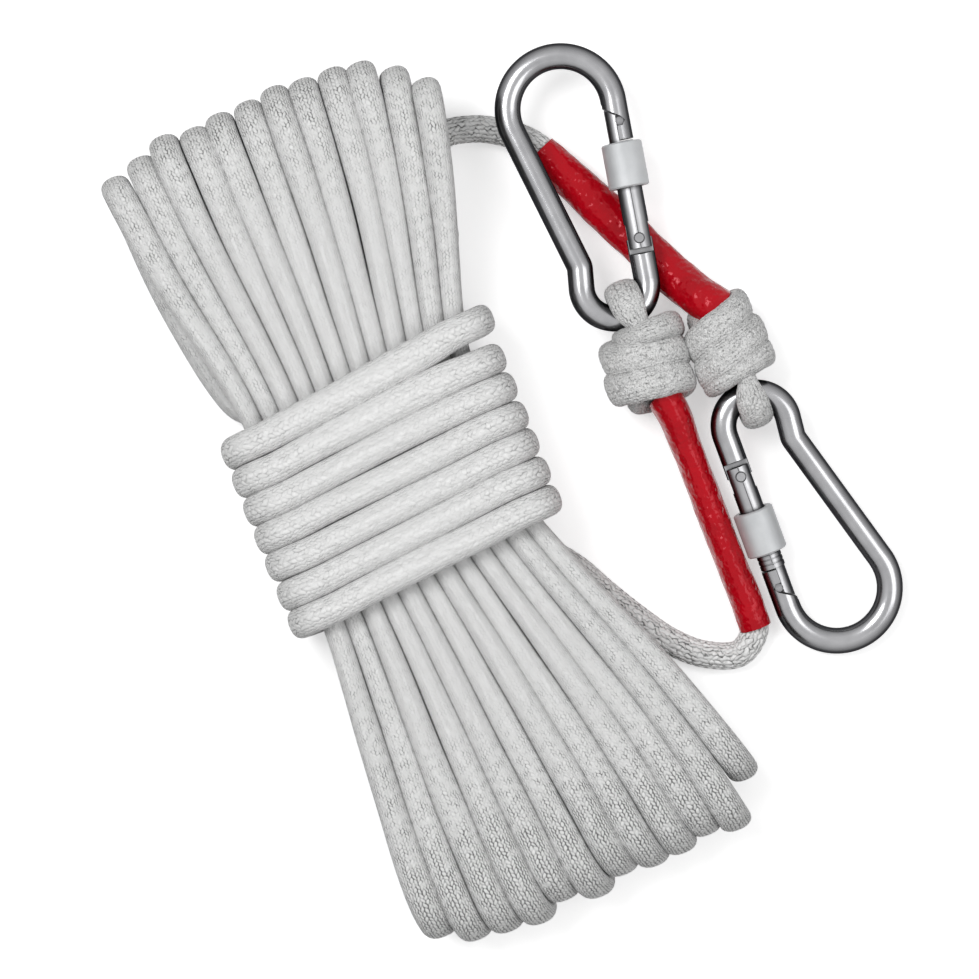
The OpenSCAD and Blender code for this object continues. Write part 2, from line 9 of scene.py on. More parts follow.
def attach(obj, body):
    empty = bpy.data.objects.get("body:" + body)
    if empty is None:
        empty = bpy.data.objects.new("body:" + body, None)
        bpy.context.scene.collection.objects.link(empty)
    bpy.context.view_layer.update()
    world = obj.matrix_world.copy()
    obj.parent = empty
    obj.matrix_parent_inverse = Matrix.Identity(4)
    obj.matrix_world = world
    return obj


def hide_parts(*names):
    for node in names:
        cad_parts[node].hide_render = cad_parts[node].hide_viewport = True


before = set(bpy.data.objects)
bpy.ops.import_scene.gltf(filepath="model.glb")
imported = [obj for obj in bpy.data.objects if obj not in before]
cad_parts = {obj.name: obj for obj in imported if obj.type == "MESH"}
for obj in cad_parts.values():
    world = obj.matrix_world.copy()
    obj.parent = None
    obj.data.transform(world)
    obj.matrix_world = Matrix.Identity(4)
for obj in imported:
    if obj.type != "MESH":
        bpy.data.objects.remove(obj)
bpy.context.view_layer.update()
mm = 0.001
toOrigin = np.array([1.34, -1.17, 0.0])  # every route below is moved by this, in millimetres

# the camera: viewWidth is what it takes in at aimHeight
cameraLook = {"centre": (-15.06, -4.27), "height": 1600.0, "aimHeight": 14.0, "viewWidth": 280.0,
              "turn": -21.53, "sensor": 36.0}


def makeCamera(look):
    # straight down on the centre, turned by turn degrees about +Z
    data = bpy.data.cameras.new("camera")
    data.sensor_width = look["sensor"]
    data.lens = look["sensor"] * (look["height"] - look["aimHeight"]) / look["viewWidth"]
    data.clip_end = 20.0
    camera = bpy.data.objects.new("camera", data)
    bpy.context.scene.collection.objects.link(camera)
    place = Matrix.Rotation(math.radians(look["turn"]), 4, "Z")
    place.translation = (look["centre"][0] * mm, look["centre"][1] * mm, look["height"] * mm)
    camera.matrix_world = place
    bpy.context.scene.camera = camera


makeCamera(cameraLook)
print("camera placed")


# paths and surfaces; lengths are in millimetres until a mesh is made
def smoothStep(x):
    # 3x^2 - 2x^3 between 0 and 1
    x = np.clip(x, 0.0, 1.0)
    return x * x * (3.0 - 2.0 * x)


def rampFrom(x, start, width):
    # smoothStep going from 0 at start to 1 a width further
    return smoothStep((x - start) / width)


def mix(a, b, t):
    # a where t is 0 and b where t is 1
    return a + (b - a) * t


def evenPath(points, count, extras=None):
    # cubic curve through the points, its slope at each from the points beside it, then count points at
    # equal steps of its length; extras are values carried along with the points
    p = np.asarray(points, float)
    knots = np.concatenate([[0.0], np.cumsum(np.linalg.norm(np.diff(p, axis=0), axis=1))])
    columns = p if extras is None else np.column_stack([p, extras])
    slopes = np.gradient(columns, knots, axis=0)
    u = np.linspace(0.0, knots[-1], max(count * 2, len(p) * 12))
    k = np.clip(np.searchsorted(knots, u, side="right") - 1, 0, len(knots) - 2)
    h = (knots[k + 1] - knots[k])[:, None]
    t = ((u - knots[k]) / h[:, 0])[:, None]
    q = ((2 * t ** 3 - 3 * t ** 2 + 1) * columns[k] + (t ** 3 - 2 * t ** 2 + t) * h * slopes[k]
         + (3 * t ** 2 - 2 * t ** 3) * columns[k + 1] + (t ** 3 - t ** 2) * h * slopes[k + 1])
    length = np.concatenate([[0.0], np.cumsum(np.linalg.norm(np.diff(q[:, :3], axis=0), axis=1))])
    s = np.linspace(0.0, length[-1], count)
    even = np.column_stack([np.interp(s, length, q[:, c]) for c in range(q.shape[1])])
    return even[:, :3], even[:, 3:], s


def softened(values, passes):
    # each pass replaces a point by a quarter, half and quarter of it and its neighbours
    v = np.array(values, float)
    for _ in range(passes):
        v[1:-1] = 0.25 * v[:-2] + 0.5 * v[1:-1] + 0.25 * v[2:]
    return v


def directions(path):
    # the path's unit tangents, from the points on either side
    d = np.gradient(path, axis=0)
    return d / np.linalg.norm(d, axis=1)[:, None]


def sideVectors(path, hint):
    # the hint with its part along the path taken away, and the vector square to both
    d = directions(path)
    hint = np.broadcast_to(np.asarray(hint, float), path.shape)
    side = hint - d * np.sum(hint * d, axis=1)[:, None]
    side /= np.linalg.norm(side, axis=1)[:, None]
    return side, np.cross(d, side)


def carriedVectors(path, start):
    # the start vector carried along the path, turned at each step only as far as the path turns
    d = directions(path)
    side = np.zeros_like(path)
    v = np.asarray(start, float) - d[0] * np.dot(start, d[0])
    for k in range(len(path)):
        v = v - d[k] * np.dot(v, d[k])
        v /= np.linalg.norm(v)
        side[k] = v
    return side, np.cross(d, side)


def gridMesh(name, grid, u, v, capped=True):
    # rings of the grid joined to a closed tube: face (i, j) has corners i, i+1 and j, j+1 modulo the ring
    rings, around = grid.shape[:2]
    verts = grid.reshape(-1, 3)
    i, j = np.meshgrid(np.arange(rings - 1), np.arange(around), indexing="ij")
    nextJ = (j + 1) % around
    here, there = i * around, (i + 1) * around
    quads = np.stack([here + j, here + nextJ, there + nextJ, there + j], axis=-1).reshape(-1, 4)
    uvs = np.stack([
        np.stack([u[j], v[i]], -1), np.stack([u[j + 1], v[i]], -1),
        np.stack([u[j + 1], v[i + 1]], -1), np.stack([u[j], v[i + 1]], -1)], axis=2).reshape(-1, 2)
    sizes = np.full(len(quads), 4)
    corners = quads.reshape(-1)
    if capped:
        first, last = len(verts), len(verts) + 1
        verts = np.vstack([verts, grid[0].mean(axis=0), grid[-1].mean(axis=0)])
        a = np.arange(around)
        b = (a + 1) % around
        startCap = np.stack([np.full(around, first), b, a], axis=1)
        endCap = np.stack([np.full(around, last), (rings - 1) * around + a, (rings - 1) * around + b], axis=1)
        caps = np.vstack([startCap, endCap])
        corners = np.concatenate([corners, caps.reshape(-1)])
        sizes = np.concatenate([sizes, np.full(len(caps), 3)])
        uvs = np.vstack([uvs, np.zeros((caps.size, 2))])
    mesh = bpy.data.meshes.new(name)
    mesh.vertices.add(len(verts))
    mesh.vertices.foreach_set("co", (verts * mm).astype(np.float32).reshape(-1))
    mesh.loops.add(len(corners))
    mesh.loops.foreach_set("vertex_index", corners.astype(np.int32))
    mesh.polygons.add(len(sizes))
    mesh.polygons.foreach_set("loop_start", np.concatenate([[0], np.cumsum(sizes)[:-1]]).astype(np.int32))
    mesh.update(calc_edges=True)
    layer = mesh.uv_layers.new(name="surface")
    layer.data.foreach_set("uv", uvs.astype(np.float32).reshape(-1))
    mesh.polygons.foreach_set("use_smooth", np.ones(len(sizes), bool))
    mesh.validate()
    piece = bpy.data.objects.new(name, mesh)
    bpy.context.scene.collection.objects.link(piece)
    return piece


# the rope's own surface; a stitch is the length of one oval along the rope
rope = {"diameter": 8.0, "lanes": 24, "stitch": 1.6, "lean": 0.6, "relief": 0.22}
openBraid = {"lanes": 18, "stitch": 2.2, "lean": 0.6, "relief": 0.28}  # the slack rope of the two leads


def braidHeight(u, s, braid):
    # lanes side by side round the rope, each a row of oval stitches half a stitch out of step with the next;
    # a stitch leans with the side of its lane; its height is 1 - (3.8 x^2 + 3.3 y^2)^1.5, 0 at its rim
    x = braid["lanes"] * u
    lane = np.floor(x)
    x = x - lane - 0.5
    odd = np.mod(lane, 2.0)
    y = s / braid["stitch"] + 0.5 * odd + braid["lean"] * x * (1.0 - 2.0 * odd)
    y = y - np.floor(y) - 0.5
    return np.clip(1.0 - (3.8 * x * x + 3.3 * y * y) ** 1.5, 0.0, 1.0)


def ropeGrid(path, s, radii, vectors, around, relief, square, braid):
    # point(i, j) = path(i) + (radiusSide + h) c side + (radiusUp + h) d up, where c and d are the cosine
    # and sine of 2 pi u raised to 2/square, so that a square above 2 gives a flattened oval
    u = np.arange(around) / around
    h = relief * (braidHeight(u[None, :], s[:, None], braid) - 0.75) if relief else 0.0
    angle = 2.0 * np.pi * u
    power = (2.0 / np.broadcast_to(square, s.shape))[:, None]
    c = np.sign(np.cos(angle)) * np.abs(np.cos(angle)) ** power
    d = np.sign(np.sin(angle)) * np.abs(np.sin(angle)) ** power
    a = (radii[0][:, None] + h) * c
    b = (radii[1][:, None] + h) * d
    return path[:, None, :] + a[..., None] * vectors[0][:, None, :] + b[..., None] * vectors[1][:, None, :]


def ropePiece(name, path, s, radii, vectors, around, relief, square=2.0, pressed=0.0, braid=rope):
    # the rope's surface: heights below floorFlat go to 0 as floorFlat exp((z - floorFlat) / floorSoft); each
    # point keeps how far the rope is squeezed smooth there, less at the sides: partly real smoothing and
    # partly painted light, as the material paints fewer shade lines where it is high and more where it is low
    floorFlat, floorSoft = 0.6, 1.2
    grid = ropeGrid(path, s, radii, vectors, around, relief, square, braid)
    z = grid[..., 2]
    grid[..., 2] = np.where(z < floorFlat, floorFlat * np.exp((z - floorFlat) / floorSoft), z)
    piece = gridMesh(name, grid, np.arange(around + 1) / around, s * mm)
    layer = piece.data.attributes.new("pressed", "FLOAT", "POINT")
    rim = np.abs(np.cos(2.0 * np.pi * np.arange(around) / around)) ** 3
    values = (np.broadcast_to(pressed, s.shape)[:, None] * (1.0 - 0.6 * rim)).reshape(-1)
    layer.data.foreach_set("value", np.concatenate([values, [0.0, 0.0]]).astype(np.float32))
    return piece


# the hank: one strand folded to and fro in two layers, drawn together into a stack of four at the waist
hank = {
    "folds": 12, "length": 253.0, "foldRadius": 12.0,
    "pitchTop": 8.5, "pitchBottom": 9.15, "pitchWaist": 7.4,  # from strand to strand
    "top": (-36.6, 127.0), "bottomX": -26.4, "waist": (-41.0, 12.6), "waistHalf": 24.0, "startY": 70.0,
    "waistZ": 12.0, "waistTilt": 40.8, "leadHump": 6.0,
    "tall": 4.35, "section": 15.4, "wander": 0.25, "rings": 4900, "around": 20}
ropeRadius = rope["diameter"] / 2
floorZ = 0.34 * rope["diameter"]  # the middle of a strand that its own weight flattens on the floor
topX, topY = hank["top"]
waistX, waistY = hank["waist"]
bottomX, bottomY = hank["bottomX"], topY - hank["length"]
waistHalf, waistLowZ = hank["waistHalf"], hank["waistZ"]
lastFold = hank["folds"] - 1


def spread(y):
    # 0 under the waist turns, rising to 1 at the folds: 1 - (1 - d)^1.3, where d is how far y is on the way
    above = (y - waistY - waistHalf) / (topY - waistY - waistHalf)
    below = (waistY - waistHalf - y) / (waistY - waistHalf - bottomY)
    return 1.0 - (1.0 - np.clip(np.where(y > waistY, above, below), 0, 1)) ** 1.3


def pitchAt(y):
    # the waist's pitch, going over to that of the top or bottom folds with the spread
    return mix(hank["pitchWaist"], np.where(y > waistY, hank["pitchTop"], hank["pitchBottom"]), spread(y))


def tiltAt(y):
    # how steeply neighbours are stacked: the waist's tilt times 1 - spread^1.6
    return np.radians(hank["waistTilt"]) * (1.0 - spread(y) ** 1.6)


def stepAt(y):
    # the pitch along X
    return pitchAt(y) * np.cos(tiltAt(y))


def riseAt(y):
    # the pitch along Z
    return pitchAt(y) * np.sin(tiltAt(y))


def rowX(i, y):
    # the middle line of the hank plus as many steps as strand i is from the middle
    middle = mix(waistX, np.where(y > waistY, topX, bottomX), spread(y))
    return middle + (lastFold / 2 - i) * stepAt(y)


waistStep = float(stepAt(np.array(waistY)))
waistHighZ = waistLowZ + 3 * float(riseAt(np.array(waistY)))


def upperStrand(i, y):
    # strand i of the upper layer at the places y, rising from the waist's height to the top of a fold
    y = np.asarray(y, float)
    z = mix(waistHighZ, floorZ + 2 * hank["foldRadius"], smoothStep(spread(y)))
    z = z - (0.25 * riseAt(y) if i % 2 == 0 else 0.0)
    if i == 0:  # over the first lead
        z = z + np.where(y > waistY, hank["leadHump"] * rampFrom(spread(y), 0.3, 0.7), 0.0)
    x = rowX(i, y) + 0.3 * spread(y) * math.sin(2.4 * i + 1.0)
    return np.stack([x, y, z + 0.7 * spread(y) * math.sin(1.7 * i)], -1)


def lowerStrand(i, y):
    # strand i of the lower layer; on the way to the top folds each one moves over by one place
    y = np.asarray(y, float)
    shift = np.where(y > waistY, rampFrom(spread(y), 0.4, 0.5), 0.0)
    base = mix(waistLowZ, floorZ, rampFrom(spread(y), 0.42, 0.5))
    if i == 1:  # this one climbs over the one before it
        climb = mix(tiltAt(y), np.pi / 2, shift)
        over = np.stack([rowX(0, y) - pitchAt(y) * np.cos(climb), y, base + pitchAt(y) * np.sin(climb)], -1)
        plain = np.stack([rowX(1, y), y, base + riseAt(y)], -1)
        return np.where((y > waistY)[..., None], over, plain)
    aside = min(3.8, 0.95 * i) * np.where(y < waistY, rampFrom(spread(y), 0.3, 0.6), 0.0)
    x = rowX(i, y) + (stepAt(y) * shift if i > 1 else 0.0) + aside
    return np.stack([x, y, base + (riseAt(y) if i % 2 == 1 else 0.0)], -1)


def topReach(i):
    # the top line with a small wave, less what the two outermost folds on each side stop short
    first = 11.8 * np.clip(1 - i / 2, 0, 1) ** 1.15
    last = 7.5 * np.clip((i - hank["folds"] + 3) / 2, 0, 1) ** 1.15
    return topY + 0.9 * math.sin(5.3 * i) - first - last


def bottomReach(i):
    # the bottom line with a small wave and a slant, less what the outermost folds stop short
    short = {0: 9, lastFold - 1: 2, lastFold: 8}.get(i, 0)
    return bottomY + 1.5 * math.sin(3.7 * i + 1.0) + 6.6 * (1 - i / lastFold) + short


def bendY(reach, low, high, way):
    # where a fold's half circle starts, for its outside to come to reach
    return reach - way * (ropeRadius + (high - low) / 2)


def foldPoints(a, b, way, lean, count=9):
    # half circle in an upright plane from a to b, bulging by way along Y and leaning along X as it does
    t = np.pi * np.arange(count) / (count - 1)
    r = (b[2] - a[2]) / 2
    out = way * abs(r) * np.sin(t)
    x = mix(a[0], b[0], (1 - np.cos(t)) / 2) + lean * out
    return np.stack([x, a[1] + out, a[2] + r * (1 - np.cos(t))], -1)


def leanAt(i, y, way, over=6.0):
    # how far row i moves along X for each millimetre out, just before the fold at y
    return float(rowX(i, np.array(y)) - rowX(i, np.array(y - way * over))) * way / over


# from the last top fold, under the hank, to the first waist turn
feedRoute = np.array([
    [-83.4, 96, floorZ], [-82.8, 84, floorZ], [-81.6, 73, floorZ], [-80.1, 62, floorZ], [-78.6, 54, floorZ],
    [-77.4, 49.5, floorZ], [-76.2, 45.2, floorZ], [-73.4, 42.2, floorZ], [-69.3, 41.2, floorZ],
    [-63, 41.2, floorZ], [-57, 42, floorZ], [-50, 43.8, floorZ]])


def hankRoute(ease=7.0, steps=26):
    # for each fold: down the lower strand, round the bottom fold, up the upper strand, round the top fold
    parts = []
    startY = hank["startY"]
    for i in range(hank["folds"]):
        topBend = bendY(topReach(i), lowerStrand(i + 1, topY)[2], upperStrand(i, topY)[2], 1)
        lowBend = bendY(bottomReach(i), lowerStrand(i, bottomY)[2], upperStrand(i, bottomY)[2], -1)
        down = lowerStrand(i, np.linspace(startY, lowBend + ease, steps))
        if i == 0:
            down[0] += [-0.1, 0, -0.2]  # a little in and down, so that the first lead stays under the hank
        parts.append(down)
        parts.append(foldPoints(lowerStrand(i, lowBend), upperStrand(i, lowBend), -1, leanAt(i, lowBend, -1)))
        parts.append(upperStrand(i, np.linspace(lowBend + ease, topBend - ease, steps)))
        if i == lastFold:
            land = np.array([float(rowX(i, np.array(topBend))) - 1.0, topBend, floorZ])
        else:
            land = lowerStrand(i + 1, topBend)
        parts.append(foldPoints(upperStrand(i, topBend), land, 1, leanAt(i, topBend, 1)))
        startY = topBend - ease
    parts.append(feedRoute)
    return np.vstack(parts)


hankPoints = hankRoute()
hankPath, _, hankS = evenPath(hankPoints, hank["rings"])
hankPath = softened(hankPath, 12)
fromWaist = np.abs(hankPath[:, 1] - waistY)
wave = hank["wander"] * rampFrom(fromWaist, 34.0, 20.0)  # no wandering under the waist turns
hankPath[:, 0] += wave * (0.6 * np.sin(hankS / 23.0) + 0.4 * np.sin(hankS / 9.7 + 1.3))
waveZ = wave * np.where(hankPath[:, 2] > 8, 1.0, 0.2)  # and little on the floor
hankPath[:, 2] += waveZ * (0.7 * np.sin(hankS / 31.0 + 0.4) + 0.5 * np.sin(hankS / 13.3))
lump = 1.0 + 0.02 * np.sin(hankS / 17.0) + 0.015 * np.sin(hankS / 6.1 + 0.7)
narrowStart = 1.0 - 0.18 * np.exp(-hankS / 3.5)  # it runs into the first lead
hankWide = (0.5 * stepAt(hankPath[:, 1]) + 0.2) * lump * narrowStart
hankTall = np.minimum(hank["tall"], hank["section"] / hankWide) * narrowStart
hankNear = 1.0 - rampFrom(fromWaist, 30.0, 62.0)
across = np.abs(hankPath[:, 0] - rowX(lastFold / 2, hankPath[:, 1])) / (6.0 * stepAt(hankPath[:, 1]))
pulled = (1.0 - rampFrom(fromWaist, 62.0, 42.0)) * (1.0 - rampFrom(across, 0.5, 0.4))
# squeezed smooth near the waist and the middle strands; below zero at the fold tips for painted shade there
hankPressedAndLit = np.maximum(0.55 * hankNear, pulled) - 0.4 * rampFrom(fromWaist, 92.0, 26.0)
hankVectors = sideVectors(hankPath, (1, 0, 0))
hankPath += toOrigin
hankPiece = ropePiece("ropeHank", hankPath, hankS, (hankWide, hankTall), hankVectors, hank["around"], 0.0,
                      square=2.3 + 0.6 * hankNear, pressed=hankPressedAndLit)
print("hank made,", round(hankS[-1] * mm, 2), "m of rope")

# the turns round the waist
waist = {"turns": 7, "pitch": 8.6, "firstY": (42.4, 33.0), "nextY": 30.8, "cornerRadius": 3.3, "gap": 0.5,
         "bows": (-0.5, 0.8, 0.3),  # the first turns bend towards each other
         "wide": 4.42, "tall": 3.75, "rings": 3800, "around": 26}
wrapRight = waistX + lastFold / 2 * waistStep
wrapLeft = waistX - lastFold / 2 * waistStep
wrapCorner = waist["cornerRadius"] + ropeRadius + waist["gap"]


def quarterTurn(x, z, rx, rz, fromDegrees, y0, y1, count=6):
    # a quarter of an oval round (x, z) from the given angle, moving from y0 to y1
    a = np.radians(np.linspace(fromDegrees, fromDegrees + 90, count))
    return np.stack([x + rx * np.cos(a), np.linspace(y0, y1, count), z + rz * np.sin(a)], -1)


def straightPoints(p, q, count=5):
    # evenly spaced points between p and q, without the two ends
    t = np.linspace(0, 1, count + 2)[1:-1, None]
    return np.asarray(p) * (1 - t) + np.asarray(q) * t


def turnPoints(n):
    # up the right side, over the top, down the left side and back underneath
    rightY = waist["firstY"][0] if n == 0 else waist["nextY"] - waist["pitch"] * (n - 1)
    leftY = waist["firstY"][1] - waist["pitch"] * n
    nextY = leftY - 5 if n == waist["turns"] - 1 else waist["nextY"] - waist["pitch"] * n
    r, lowR = wrapCorner, waistLowZ - floorZ
    xr, xl = wrapRight + (1 if n == 0 else 0), wrapLeft
    overStartY, overEndY = mix(rightY, leftY, 0.06), mix(rightY, leftY, 0.94)
    over = straightPoints((xr, overStartY, waistHighZ + r), (xl, overEndY, waistHighZ + r))
    bow = waist["bows"][n] if n < len(waist["bows"]) else 0.0
    over[:, 1] += bow * np.sin(np.pi * (np.arange(1, 6) / 6.0) ** 0.7)
    return np.vstack([
        quarterTurn(xr, waistLowZ, r, lowR, -90, rightY + 0.6, rightY + 0.3),
        quarterTurn(xr, waistHighZ, r, r, 0, rightY, overStartY),
        over,
        quarterTurn(xl, waistHighZ, r, r, 90, overEndY, leftY),
        quarterTurn(xl, waistLowZ, r, lowR, 180, leftY - 0.2, leftY - 0.4),
        straightPoints((xl, leftY - 0.4, floorZ), (xr, nextY + 0.6, floorZ))])


wrapsIn = np.array([feedRoute[-1], [-42, 45.2, floorZ], [-30, 45.6, floorZ], [-20, 45, floorZ]])
wrapsOut = np.array([[wrapRight, -24.6, floorZ]])
wrapPoints = np.vstack([wrapsIn] + [turnPoints(n) for n in range(waist["turns"])] + [wrapsOut])
wrapPath, _, wrapS = evenPath(wrapPoints, waist["rings"])
wrapPath = softened(wrapPath, 10)
wrapVectors = sideVectors(wrapPath, (0, 1, 0))
wrapPath[:, 1] += 0.12 * np.sin(wrapS / 19.0) + 0.08 * np.sin(wrapS / 7.3)
wrapLump = 1.0 + 0.02 * np.sin(wrapS / 11.0)
wrapTop = rampFrom(wrapPath[:, 2], waistHighZ + 3.0, 4.0)
over = np.clip((wrapRight - wrapPath[:, 0]) / (wrapRight - wrapLeft), 0.0, 1.0)
firstTurns = rampFrom(wrapPath[:, 1], 24.0, 4.0) * wrapTop * np.sin(np.pi * over ** 0.7)  # these lie flatter
wrapWide = (waist["wide"] + 0.6 * firstTurns) * wrapLump
wrapTall = (waist["tall"] - 0.3 * firstTurns) * wrapLump
wrapPath += toOrigin
wrapPiece = ropePiece("waistTurns", wrapPath, wrapS, (wrapWide, wrapTall), wrapVectors, waist["around"], 0.0,
                      square=2.5, pressed=wrapTop * (0.5 + 0.5 * np.sin(np.pi * over)))
print("waist turns made,", round(wrapS[-1] * mm, 2), "m of rope")

# the two ends: each pair holds the value for the first end, on the shorter lead, and then for the second
endNames = ("first", "second")
knot = {"x": (63.8, 39.1), "y": (11.9, 13.0), "z": 12.4, "eyeWay": (-1, 1), "turns": (2.5, 2.2), "pitch": 7.2,
        "ropeRadius": 3.3, "coreRadius": 2.7, "coreOff": 2.8}
bow = {"at": (np.array([61.4, -14.0, 11.9]), np.array([38.2, 38.0, 14.8])), "heading": (-84.8, 85.4),
       "tilt": (6.2, 0.0), "wire": 3.75, "narrow": 9.4}
sleeve = {"start": 6, "wall": 0.7,  # start is a point of the route
          "strand": ((3.5, 2.6), (3.1, 3.1)), "apart": (2.65, 3.2),  # radii inside, and how far moved aside
          "lump": (0.18, 0.11), "rings": 300, "around": 110}
firstRoute = np.array([
    [-2.8, 79, 8.4], [-0.2, 87.5, 6.4], [3.2, 93.4, 4.8], [9, 96.7, 4], [16, 95.6, 4], [24.5, 91.4, 4.1],
    [33.3, 82.5, 4.3], [37, 74, 4.3], [42, 63, 4.3], [47, 52.5, 4.5], [51.5, 43, 5.4], [55.5, 34.5, 7.3],
    [59.8, 26.6, 10.6]])
secondRoute = np.array([
    [-2, -32.6, 3.4], [3.6, -43, 4], [10, -54, 4], [16.2, -63, 4], [24, -70, 4], [34, -73.2, 4],
    [40.2, -68, 4.4], [40.6, -60, 4.7], [40.5, -48, 4.8], [40.5, -36, 5], [40.6, -24, 5.6], [40.6, -12, 7.4],
    [40.5, -0.8, 11]])
routes = (firstRoute, secondRoute)
atKnot = len(firstRoute) - 1  # both routes end at their knots with this point
atKnotApart = 0.6  # strand and tail are closer together there
ringStep = 0.34  # between the rings of a fine piece


def onKnot(end, s, dx, z):
    # the point s along a knot's axis towards its eye and dx beside it
    return np.array([knot["x"][end] + dx, knot["y"][end] + knot["eyeWay"][end] * s, z])


def knotHalf(end):
    # half the length that the turns take
    return (knot["turns"][end] * knot["pitch"] + 2 * knot["ropeRadius"]) / 2


def barAt(end):
    # where the wire passes the rope's eye: back from the wide bow's middle along its heading
    h, t = math.radians(bow["heading"][end]), math.radians(bow["tilt"][end])
    heading = np.array([math.cos(h) * math.cos(t), math.sin(h) * math.cos(t), -math.sin(t)])
    return bow["at"][end] - bow["narrow"] * heading


def inSleeve(i):
    # 0 before the sleeve and 1 inside it, for point i of a route
    return smoothStep(np.array((i - sleeve["start"]) / 2.0))


def levelAcross(heading):
    # the level vector square to a heading, to its right
    across = np.array([heading[1], -heading[0], 0.0])
    return across / np.linalg.norm(across)


def leadPoints(end):
    # the route, with the standing part moved over beside or on top of the tail inside the sleeve
    headings = directions(routes[end])
    points = []
    for i, p in enumerate(routes[end]):
        by = sleeve["apart"][end] * float(inSleeve(i)) * (atKnotApart if i == atKnot else 1.0)
        across = levelAcross(headings[i]) if end == 0 else np.array([0.0, 0.0, 1.0])
        points.append(p + across * by)
    leg = onKnot(end, -knotHalf(end), 0, knot["z"] + knot["coreOff"])
    begin = mix(hankPoints[0], hankPoints[1], 0.6)  # tucked into the hank's first strand
    before = [begin, hankPoints[0]] if end == 0 else [wrapPoints[-1], np.array([-6.2, -27.4, 3.0])]
    inward = np.array([-1.0, 1.0, -1.6]) if end == 0 else np.array([0, -1.5, -0.6])
    return np.vstack(before + points + [leg + inward, leg])


def tailPoints(end):
    # the route inside the sleeve, moved to the other side of the standing part or down under it
    headings = directions(routes[end])
    points = []
    for i in range(sleeve["start"] + 2, atKnot + 1):
        p = routes[end][i].copy()
        if end == 0:
            p = p - levelAcross(headings[i]) * sleeve["apart"][0] * (atKnotApart if i == atKnot else 1.0)
            p[2] -= 0.8 if i == atKnot else 0.0
        else:
            p[2] -= min(sleeve["apart"][1], p[2] - 3.8)
        points.append(p)
    leg = onKnot(end, -knotHalf(end), 0, knot["z"] - knot["coreOff"])
    return np.vstack(points + [leg + np.array([0, 1.5 * -knot["eyeWay"][end], 0]), leg])


def routeLength(points):
    # the sum of the distances from point to point
    return np.sum(np.linalg.norm(np.diff(points, axis=0), axis=1))


def makeLead(end):
    # full round rope, going over to the strand's oval inside the sleeve and to the core's size at the knot
    points = leadPoints(end)
    t = inSleeve(np.arange(len(points)) - 2)
    sizes = np.stack([mix(ropeRadius - 0.1, r - 0.2, t) for r in sleeve["strand"][end]], -1)
    sizes[-2:] = knot["coreRadius"] + 0.3
    path, extra, s = evenPath(points, int(routeLength(points) / ringStep), sizes)
    path = softened(path, 6)
    vectors = carriedVectors(path, (0, 0, 1))
    start = 1.0 - 0.15 * np.exp(-s / 1.5)  # the start is tucked into the strand it leaves
    piece = ropePiece(endNames[end] + "Lead", path + toOrigin, s, (extra[:, 0] * start, extra[:, 1] * start),
                      vectors, 108, openBraid["relief"], braid=openBraid)
    shown = int(np.argmin(np.linalg.norm(path - hankPoints[0], axis=1))) if end == 0 else 0
    return piece, (path + toOrigin)[shown:], s[shown:] - s[shown]


def makeTail(end):
    # the strand's oval inside the sleeve, going over to the core's size at the knot
    points = tailPoints(end)
    sizes = np.broadcast_to(np.array(sleeve["strand"][end]) - 0.3, (len(points), 2)).copy()
    sizes[-2:] = knot["coreRadius"]
    path, extra, s = evenPath(points, 160, sizes)
    return ropePiece(endNames[end] + "Tail", path + toOrigin, s, (extra[:, 0], extra[:, 1]),
                     carriedVectors(path, (0, 0, 1)), 60, rope["relief"])


# t counts the turns; s is along the knot, side and up are the turn's radii, wide and tall the rope's
knotShape = (
    {"t": [0, 1, 2, 2.8], "s": [-8.4, -0.2, 7.9, 9.8], "side": [7.6, 8.3, 8.8, 7.8],
     "up": [8.4, 9.0, 9.0, 8.0], "dx": [-2.4, -1.7, -1.2, -1.8], "wide": [4.7, 4.9, 4.8, 2.9],
     "tall": [3.3, 3.4, 3.3, 3.0], "slant": 0.16},
    {"t": [0, 1, 1.9, 2.3, 2.9], "s": [-8.3, -0.9, 6.7, 8.8, 9.9], "side": [9.4, 9.85, 9.4, 7.4, 6.8],
     "up": [8.9, 9.2, 9.3, 10.4, 11.0], "dx": [-1.6, -0.9, 0.4, 3.4, 2.6], "wide": [4.8, 4.95, 4.8, 3.8, 2.8],
     "tall": [3.3, 3.4, 3.4, 3.2, 3.0], "slant": 0.0})
knotTuck = {"turns": 0.3, "side": 3.0, "up": 3.6, "back": 4.0, "ahead": 3.0}  # both ends run into the core
eyeLook = {"shift": (2.0, 2.0), "half": (4.6, 5.0), "neck": (0.5, 2.4), "thick": 3.1, "gap": 0.5}


def makeKnot(end):
    # turns round +Y from the sleeve to the eye: x = side cos(angle), z = up sin(angle)
    shape = knotShape[end]
    tuck = knotTuck["turns"]
    t = np.linspace(-tuck, shape["t"][-1] + tuck, 220)

    def value(key):
        return softened(np.interp(t, shape["t"], shape[key]), 60)

    angle = 2 * np.pi * t - np.pi / 2
    atStart = smoothStep(-t / tuck)
    atEnd = smoothStep((t - shape["t"][-1]) / tuck)
    inside = np.maximum(atStart, atEnd)
    x = mix(value("side"), knotTuck["side"], inside) * np.cos(angle)
    z = mix(value("up"), knotTuck["up"], inside) * np.sin(angle)
    s = value("s") - shape["slant"] * x + knotTuck["back"] * atStart - knotTuck["ahead"] * atEnd
    y = knot["y"][end] + knot["eyeWay"][end] * s
    points = np.stack([knot["x"][end] + value("dx") + x, y, knot["z"] + z], -1)
    sizes = np.stack([value("wide"), value("tall")], -1)
    path, sizes, s = evenPath(points, int(routeLength(points) / ringStep), sizes)
    lump = 1.0 + 0.03 * np.sin(s / 3.1 + end) + 0.02 * np.sin(s / 1.3 + 2.0)
    return ropePiece(endNames[end] + "Knot", path + toOrigin, s, (sizes[:, 0] * lump, sizes[:, 1] * lump),
                     sideVectors(path, (0, 1, 0)), 96, 0.6 * rope["relief"], square=2.7, pressed=0.35)


